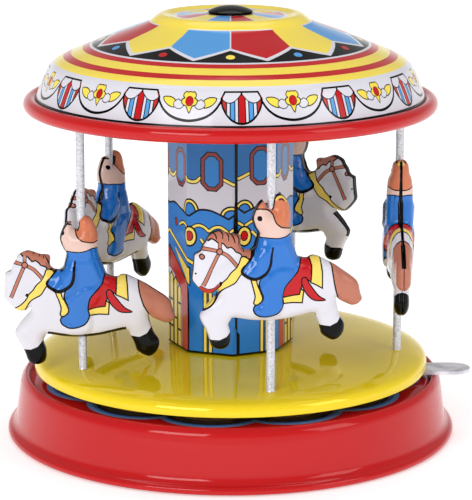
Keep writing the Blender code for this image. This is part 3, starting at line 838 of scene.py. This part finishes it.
# Forward of the pole and above the front hoof, for one side of the pressed horse and bear
SILHOUETTE = (
    (18.5, 17.0), (18.3, 19.0), (18.1, 21.0), (17.9, 22.7), (16.6, 23.4), (16.1, 24.4), (15.8, 25.0),
    (15.2, 25.8), (14.6, 26.9), (13.2, 27.7), (11.9, 27.9), (10.5, 27.4), (9.2, 26.9), (7.5, 26.7),
    (7.0, 26.0), (7.2, 24.5), (6.8, 23.6), (5.9, 23.1), (4.9, 23.1), (4.1, 23.7), (3.7, 24.9),
    (3.4, 25.9), (3.2, 27.0), (3.8, 28.0), (4.3, 29.3), (4.5, 30.6), (4.1, 32.0), (3.3, 33.5),
    (2.3, 34.5), (1.7, 34.1), (1.1, 32.9), (0.4, 32.5), (0.0, 33.2), (-0.2, 34.5), (-0.8, 35.3),
    (-1.7, 35.7), (-2.6, 35.4), (-3.3, 34.7), (-3.9, 33.5), (-4.3, 32.2), (-4.5, 30.3), (-4.3, 28.1),
    (-4.4, 26.6), (-4.6, 25.4), (-5.3, 23.4), (-5.7, 22.1), (-6.3, 21.0), (-8.4, 20.5), (-9.4, 21.0),
    (-10.7, 20.9), (-12.5, 20.0), (-15.0, 18.6), (-16.9, 17.2), (-20.3, 14.5), (-21.2, 11.5),
    (-21.6, 10.1), (-20.6, 9.0), (-19.4, 8.7), (-18.2, 9.1), (-16.3, 10.1), (-15.3, 10.9), (-15.8, 8.1),
    (-16.4, 6.3), (-17.4, 4.6), (-17.2, 2.6), (-16.0, 1.1), (-14.4, 0.7), (-12.2, 2.1), (-11.7, 3.4),
    (-11.3, 4.7), (-10.6, 6.2), (-9.9, 7.5), (-6.9, 7.1), (-3.4, 6.5), (0.5, 6.3), (4.6, 6.6), (8.8, 7.4),
    (9.5, 6.9), (10.0, 5.9), (9.7, 4.7), (9.5, 3.7), (9.6, 1.7), (10.3, 0.5), (11.8, 0.0), (13.5, 0.5),
    (14.2, 1.6), (14.5, 2.8), (15.2, 4.8), (16.3, 6.9), (16.6, 8.3), (16.1, 9.3), (14.9, 10.8),
    (13.8, 12.0), (12.7, 13.1), (12.5, 14.2), (13.7, 13.5), (15.3, 13.5), (16.5, 14.3), (17.7, 15.7),
)
# the printed shapes of the left side, in the same measure, and the runs of points that two of them share
SHIN = (
    (-3.9, 15.5), (-2.6, 14.1), (-2.1, 12.7), (-1.9, 11.3), (-2.1, 10.1), (-1.9, 9.1), (-1.0, 7.9),
    (0.5, 7.2), (2.5, 7.0),
)
CALF = ((3.6, 9.9), (2.8, 10.6), (2.6, 11.6), (2.9, 12.6), (3.3, 13.6), (3.4, 14.9))
COLLAR = ((1.9, 25.3), (0.4, 25.2), (-0.9, 25.1), (-2.6, 25.4), (-3.9, 25.8))
CHEEK = ((0.0, 30.2), (-0.2, 29.3), (-0.6, 28.5), (-1.3, 27.9))
COAT = (
    (4.2, 26.0), *COLLAR, (-5.6, 27.0), (-5.6, 23.9), (-6.6, 22.2), (-7.0, 20.7), (-6.2, 19.2),
    (-5.5, 17.2), *SHIN, (4.1, 7.6), (4.7, 8.6), (4.5, 9.5), *CALF, (3.0, 16.1), (2.5, 16.8), (4.2, 16.2),
    (5.8, 16.5), (6.9, 17.2), (7.2, 17.9), (6.5, 19.0), (5.5, 20.0), (4.5, 21.4), (4.4, 23.0), (4.8, 24.4),
)
ARM = (
    (0.6, 23.4), (0.8, 21.3), (1.0, 19.4), (1.5, 17.9), (2.3, 17.0), (4.2, 16.3), (5.8, 16.6), (6.8, 17.3),
    (7.0, 18.0), (6.4, 19.0), (5.4, 20.0), (4.4, 21.4), (4.0, 23.0), (2.6, 24.4),
)
LEG = (
    (2.2, 17.4), (-1.6, 19.2), (-4.8, 18.2), *SHIN, (4.0, 7.7), (4.5, 8.6), (4.3, 9.4), *CALF,
)
MANE = (
    (15.9, 25.2), (15.9, 29.5), (12.0, 30.4), (7.6, 29.6), (5.2, 27.6), (5.2, 24.4), (4.2, 23.6), (4.3, 22.5),
    (4.5, 21.6), (5.2, 20.7), (5.8, 20.4), (6.3, 21.0), (7.1, 21.0), (7.5, 21.7), (8.6, 22.2), (9.1, 22.9),
    (9.8, 23.4), (10.6, 23.2), (11.5, 24.3), (12.6, 24.4), (13.4, 25.1), (14.2, 25.5), (14.8, 25.0),
)
CURLS = (
    ((13.9, 26.8), (13.2, 26.1), (13.1, 25.2)), ((12.4, 27.2), (11.6, 26.4), (11.7, 25.2)),
    ((11.2, 27.0), (10.3, 26.1), (10.3, 24.7)), ((9.9, 26.6), (9.1, 25.5), (8.8, 24.1)),
    ((8.7, 26.4), (7.9, 25.3), (7.9, 23.6)), ((7.5, 24.2), (6.9, 22.9), (6.6, 21.8)),
)
BREAST_STRAP = (
    (7.2, 21.0), (5.7, 20.3), (6.5, 19.2), (7.2, 17.8), (8.2, 16.4), (9.1, 15.2), (10.5, 14.5),
    (11.8, 13.6), (13.1, 11.5), (14.4, 9.8), (16.7, 8.3), (18.4, 8.0), (18.2, 10.2), (15.4, 11.9),
    (13.4, 13.3), (12.3, 14.5), (11.9, 15.3), (10.8, 16.3), (9.9, 17.5), (8.6, 18.6), (7.9, 19.8),
)
GIRTH = (
    (5.5, 16.4), (4.5, 16.6), (4.0, 14.7), (3.4, 13.2), (2.8, 11.6), (2.7, 10.8), (3.3, 9.9), (4.2, 9.8),
    (4.7, 10.3), (4.5, 11.1), (4.4, 12.0), (4.8, 13.7), (5.2, 15.2),
)
SADDLE = (
    (-6.2, 22.4), (-8.9, 22.4), (-8.8, 19.7), (-9.0, 18.2), (-8.8, 16.0), (-8.6, 14.6), (-7.6, 15.4),
    (-6.9, 14.9), (-6.5, 14.1), (-6.2, 11.8), (-4.3, 11.6), (-1.8, 11.4), (-1.8, 12.7), (-2.4, 14.4),
    (-3.6, 16.0), (-5.2, 18.0),
)
SADDLE_BACK = (
    (-8.75, 22.4), (-11.4, 22.9), (-11.2, 18.6), (-11.4, 16.4), (-11.4, 12.9), (-10.1, 13.7), (-8.7, 14.4),
    (-8.9, 16.0), (-9.0, 18.2), (-8.8, 19.7),
)
FRINGE = (
    (-1.9, 11.2), (-4.3, 11.6), (-6.0, 11.7), (-6.3, 13.0), (-6.9, 12.5), (-6.6, 9.8), (-4.3, 10.0),
    (-1.9, 9.9),
)
RIBBON = (
    (-6.6, 15.4), (-7.5, 15.5), (-8.1, 14.4), (-9.1, 12.9), (-10.6, 11.0), (-12.1, 10.0), (-10.3, 10.0),
    (-9.1, 10.4), (-8.1, 11.3), (-7.3, 12.4), (-6.6, 14.0),
)
FACE = (
    (4.0, 25.4), (5.8, 27.0), (6.0, 31.7), (4.3, 31.7), (3.1, 31.8), (1.6, 31.7), (0.5, 31.1), *CHEEK,
    (-2.2, 27.5), (-5.6, 27.4), (-5.6, 25.6), *COLLAR[::-1],
)
HOOD = (
    (5.6, 31.6), (3.1, 31.75), (1.6, 31.65), (0.5, 31.05), *CHEEK, (-2.2, 27.5), (-6.0, 27.5),
    (-6.5, 34.0), (-4.0, 38.5), (0.6, 38.5), (5.0, 36.5),
)


def inside(x, y, outline):
    hit = False
    for (x0, y0), (x1, y1) in zip(outline, outline[1:] + outline[:1]):
        if (y0 > y) != (y1 > y) and x < (x1 - x0) * (y - y0) / (y1 - y0) + x0:
            hit = not hit
    return hit


def margin(x, y, outline):
    """Distance to an outline."""
    best = 1e9
    for (x0, y0), (x1, y1) in zip(outline, outline[1:] + outline[:1]):
        dx, dy = x1 - x0, y1 - y0
        t = ((x - x0) * dx + (y - y0) * dy) / (dx * dx + dy * dy)
        t = min(max(t, 0.0), 1.0)
        best = min(best, (x - x0 - t * dx) ** 2 + (y - y0 - t * dy) ** 2)
    return sqrt(best)


def swell(distance, reach):
    """A round shoulder: nothing at the edge, one at reach and beyond."""
    t = min(distance / reach, 1.0)
    return sqrt(max(0.0, 1.0 - (1.0 - t) ** 2))


def press(x, y, outline, raised):
    """Height of the pressed sheet over the seam."""
    edge = margin(x, y, outline)
    belly, chest, head = (
        max(0.0, 1.0 - hypot((x + back) / wide, (y - up) / tall) ** 2)
        for back, up, wide, tall in ((0.0, 13.5, 17.0, 9.5), (1.2, 22.0, 7.5, 10.0), (0.6, 31.0, 6.0, 7.0))
    )
    full = 1.75 + 1.25 * max(belly, chest) ** 0.6 + 0.35 * head
    height = full * swell(edge, 2.6)
    for shape, lift, reach in raised:
        if inside(x, y, shape):
            height += lift * swell(margin(x, y, shape), reach)
    return 0.12 + height


def print_rider(forward, lift, nose, front):
    """The litho print of one side of a horse and bear, cut out of white."""
    outline = smooth(SILHOUETTE)
    art = Artwork(outline, "white")
    over = Overlay(art, lambda points: moved(points, forward, lift))
    over.edged([(-13.2, 22.0), (-24.0, 20.0), (-24.0, 4.0), (-18.5, 4.0), (-17.0, 7.0), (-15.0, 11.4),
                (-14.4, 13.7), (-14.1, 15.7), (-14.0, 17.7), (-13.4, 19.6)], "salmon", 0.22)
    over.edged(MANE, "salmon", 0.21)
    for curl in CURLS:
        over.line(curl, 0.3)
    harness(over, lift < 1.5)
    for shape, ink, edge in (
        (smooth(BREAST_STRAP), "gold", 0.2), (smooth(GIRTH), "gold", 0.22), (SADDLE, "red", 0.2),
        (SADDLE_BACK, "gold", 0.22), (FRINGE, "gold", 0.22), (smooth(RIBBON), "red", 0.2),
        (smooth(COAT), "suit", 0.24), (smooth(FACE, True, 2), "cream", 0.18),
        (smooth(HOOD, True, 2), "hood", 0.2),
    ):
        over.edged(shape, ink, edge)
    over.line([(-0.1, 32.8), (-0.5, 34.1), (-1.7, 34.8), (-2.8, 34.4), (-3.6, 33.2)], 0.8)
    over.line([(-0.7, 33.5), (-1.2, 34.1), (-1.9, 34.3), (-2.6, 34.0), (-3.3, 33.0)], 0.42, "gold")
    over.line([(-1.3, 33.6), (-2.0, 33.8), (-2.7, 33.3)], 0.3)
    over.fill(disc(3.1, 29.6, 0.55, 0.6, 16), "black")
    over.line([(0.3, 23.2), (0.7, 21.3), (0.9, 19.4), (1.4, 17.9), (2.3, 16.9), (4.2, 16.0), (5.8, 16.3),
               (7.1, 17.1), (7.4, 18.0), (6.6, 19.1)], 0.85)
    over.line([(4.7, 24.2), (4.6, 23.0), (4.6, 22.0), (5.2, 20.6)], 0.8)
    over.edged([(14.6, 1.6), (12.4, 1.6), (10.7, 2.2), (9.4, 3.5), (7.0, 4.5), (7.0, -4.0), (16.0, -4.0)],
               "black")
    over.edged([(-10.0, 3.4), (-11.6, 3.6), (-13.6, 3.4), (-15.4, 4.2), (-16.4, 5.4), (-16.8, 6.4),
                (-19.5, 6.6), (-19.5, -3.0), (-10.0, -3.0)], "black")
    rim(art, outline, nose, front, lift > 1.5)
    return art, outline


def harness(over, rein_shows):
    over.strap([(17.2, 23.1), (15.2, 23.1), (12.6, 22.5)])
    over.strap([(12.5, 22.2), (14.4, 18.4), (16.2, 14.6)])
    over.strap([(12.3, 24.7), (12.4, 22.6)])
    over.strap([(12.2, 22.3), (10.6, 21.4), (9.3, 20.0), (8.4, 18.8)])
    over.edged(disc(12.4, 22.4, 0.66, 0.66, 16), "salmon", 0.17)
    rein = smooth([(17.0, 14.3), (15.6, 13.35), (14.3, 13.2), (13.1, 13.8), (12.5, 14.9)], False, 4)
    count = len(rein) - 1
    for extra, ink in ((0.4, "black"), (0.0, "rust")) if rein_shows else ():
        widths = [extra + 0.6 + 0.75 * sin(pi * i / count) for i in range(count + 1)]
        over.stroke(rein, widths, ink)
    over.fill(disc(12.3, 15.2, 0.42, 0.42, 12), "black")
    over.fill(disc(16.4, 21.4, 0.68, 0.68, 18), "black")
    over.fill(disc(16.4, 21.4, 0.42, 0.42, 16), "salmon")
    over.fill(disc(17.8, 17.5, 0.22, 0.22, 10), "black")


def rim(art, outline, nose, front, heavy):
    """Black where the two sides of the pressing meet. It shows more under a print that sits high."""
    strokes = [
        ((13.7, 13.5), (11.9, 27.9), nose), ((4.9, 23.1), (2.3, 34.5), front),
        ((0.4, 32.5), (-0.2, 34.5), 0.9), ((-2.6, 35.4), (-6.3, 21.0), 0.03),
        ((-6.3, 21.0), (-15.0, 18.6), 0.05), ((-15.0, 18.6), (-20.3, 14.5), 0.16),
        ((-9.9, 7.5), (8.8, 7.4), 2.3 if heavy else 0.3),
    ]
    if heavy:
        strokes.append(((16.3, 6.9), (12.7, 13.1), nose))
    for start, end, width in strokes:
        first, last = (
            min(range(len(outline)), key=lambda index: dist(outline[index], place))
            for place in (start, end)
        )
        path = outline[first:last + 1] if first < last else outline[first:] + outline[:last + 1]
        art.stroke(path, width, "black")


def build_riders():
    for number in range(5):
        points, heights, triangles, inks = press_rider(*PRINTS[number])
        place = Vector((POLES[number].x, POLES[number].y, HOOVES[number] + TIP_HEIGHT))
        lean = Matrix.Rotation(radians(-TIPS[number]), 4, "Y")
        turn = Matrix.Rotation(radians(HEADINGS[number]), 4, "Z") @ lean
        for side, word in ((1, "left"), (-1, "right")):
            name = f"rider_{number + 1}_{word}"
            verts = []
            for (x, y), height in zip(points, heights):
                verts.append(place + turn @ Vector((x, side * height, y - TIP_HEIGHT)))
            faces = triangles if side < 0 else [tuple(reversed(face)) for face in triangles]
            mesh = build_mesh(name, verts, faces, inks, INK)
            piece = finish_piece(name, mesh, f"rider_{number + 1}", "white_enamel",
                                 f"horse_rider_{number + 1}_{word}")
            thicken(piece, TIN, 0.25)


def press_rider(*print_place):
    """Flat points of one side, how far each is pressed out, and the inked triangles between them."""
    art, outline = print_rider(*print_place)
    pitch = 0.6
    spots = []
    for row in range(int(38 / pitch)):
        for column in range(int(42 / pitch)):
            x = -22.0 + pitch * (column + 0.5 * (row % 2))
            y = pitch * row
            if inside(x, y, outline) and margin(x, y, outline) > 0.2:
                spots.append((x, y))
    rings = [grow(outline, -step) for step in (0.25, 0.7)]
    points, triangles, inks = art.cut([ring + ring[:1] for ring in rings], spots)
    raised = [(smooth(shape, True, 2), lift, reach)
              for shape, lift, reach in ((COAT, 0.25, 1.0), (ARM, 0.65, 1.6), (LEG, 0.45, 1.5))]
    heights = [press(x, y, outline, raised) for x, y in points]
    return points, heights, triangles, inks


# ---------------------------------------------------------------- metal pieces

def build_poles():
    for number, place in enumerate(POLES, 1):
        low, high = span(f"pole_{number}")
        head = [(0.0, 0.0), (1.3, -0.05), (1.7, -0.3), (1.7, -0.6), (1.0, -0.6)]
        foot = [(0.98, 1.7), (1.05, 1.5), (1.12, 1.32), (0.98, 1.2), (0.98, 0.6), (1.7, 0.6), (1.6, 0.1),
                (0.0, 0.0)]
        profile = [(radius, high.z + drop) for radius, drop in head]
        profile += [(radius, low.z + rise) for radius, rise in foot]
        turned(f"pole_rod_{number}", profile, ZINC, f"pole_body_{number}", "zinc", (f"pole_{number}",),
               (place.x, place.y), 28, False, 40)


def build_cap():
    top = CAP_HIGH.z
    crown = ((0.0, 0.0), (0.9, 0.03), (1.8, 0.12), (2.7, 0.28), (3.4, 0.47), (4.1, 0.7), (4.7, 0.95),
             (5.2, 1.22), (5.45, 1.38))
    profile = [(radius, top - drop) for radius, drop in crown]
    profile += [(5.35, CAP_LOW.z), (1.6, CAP_LOW.z), (1.6, top - 1.0), (0.0, top - 1.0)]
    turned("roof_nut", profile, INK["black"], "turntable", "black_enamel", ("roof_cap",), steps=48,
           closed=False)


def repaint(node, material):
    data = frame["nodes"][node].data
    data.materials.clear()
    data.materials.append(material)


def dress_cad_nodes():
    """The bare metal pieces of the CAD model take the metal of their slot in the record."""
    metals = {"tinplate": TIN, "steel": STEEL, "brass": BRASS, "spring_steel": SPRING, "zinc": LEVER_ZINC}
    for subpart in frame["record"]["subparts"]:
        slot = subpart["material_slot"]
        if slot in metals:
            repaint(subpart["node"], metals[slot])


# ---------------------------------------------------------------- camera, floor and light

def build_studio():
    camera = bpy.data.cameras.new("camera")
    camera.lens = 166.1
    camera.sensor_width = 36.0
    camera.shift_x = 0.011
    camera.clip_start = 0.05
    camera.clip_end = 20.0
    eye = add_object("camera", camera)
    eye.location = (0.0, -0.5509, 0.1719)
    eye.rotation_euler = (radians(90.0 - 13.03), 0.0, 0.0)
    bpy.context.scene.camera = eye

    paper, tree, shader = new_material("floor_paper")
    set_inputs(shader, {"Base Color": (0.96, 0.96, 0.96, 1.0), "Roughness": 0.9,
                        "Emission Color": (1.0, 1.0, 1.0, 1.0)})
    place = tree.nodes.new("ShaderNodeTexCoord")
    distance = tree.nodes.new("ShaderNodeVectorMath")
    distance.operation = "LENGTH"
    tree.links.new(place.outputs["Object"], distance.inputs[0])
    glow = remap(tree, distance.outputs["Value"], 0.2, 0.9, 0.4, 0.62)
    tree.links.new(glow, shader.inputs["Emission Strength"])
    mesh = bpy.data.meshes.new("floor")
    size = 6.0
    corners = [(-size, -size, 0), (size, -size, 0), (size, size, 0), (-size, size, 0)]
    mesh.from_pydata(corners, [], [(0, 1, 2, 3)])
    mesh.materials.append(paper)
    ground = add_object("floor", mesh)
    ground.location = (0.0, 0.0, -0.0004)

    world = bpy.data.worlds.new("studio")
    world.use_nodes = True
    tree = world.node_tree
    sky = tree.nodes["Background"]
    sky.inputs["Color"].default_value = (1.0, 1.0, 1.0, 1.0)
    place = tree.nodes.new("ShaderNodeTexCoord")
    height = tree.nodes.new("ShaderNodeSeparateXYZ")
    tree.links.new(place.outputs["Generated"], height.inputs["Vector"])
    tree.links.new(remap(tree, height.outputs["Z"], 0.08, 0.30, 1.0, 0.42), sky.inputs["Strength"])
    bpy.context.scene.world = world
    bpy.context.scene.view_settings.view_transform = "Standard"

    aim = Vector((0.0, 0.0, 0.05))
    for name, place, size, power in (
        ("key", (-0.45, -0.85, 0.52), (0.55, 0.4), 3.7),
        ("fill", (0.75, -0.45, 0.5), (0.4, 0.5), 1.4),
        ("top", (0.0, 0.25, 0.95), (0.8, 0.5), 2.2),
    ):
        light = bpy.data.lights.new(name, "AREA")
        light.shape = "RECTANGLE"
        light.size, light.size_y = size
        light.energy = power
        lamp = add_object(name, light)
        lamp.location = place
        lamp.rotation_euler = (aim - Vector(place)).to_track_quat("-Z", "Y").to_euler()


build_studio()
build_roof()
build_cap()
build_base()
build_platform()
build_column()
build_riders()
build_poles()
dress_cad_nodes()
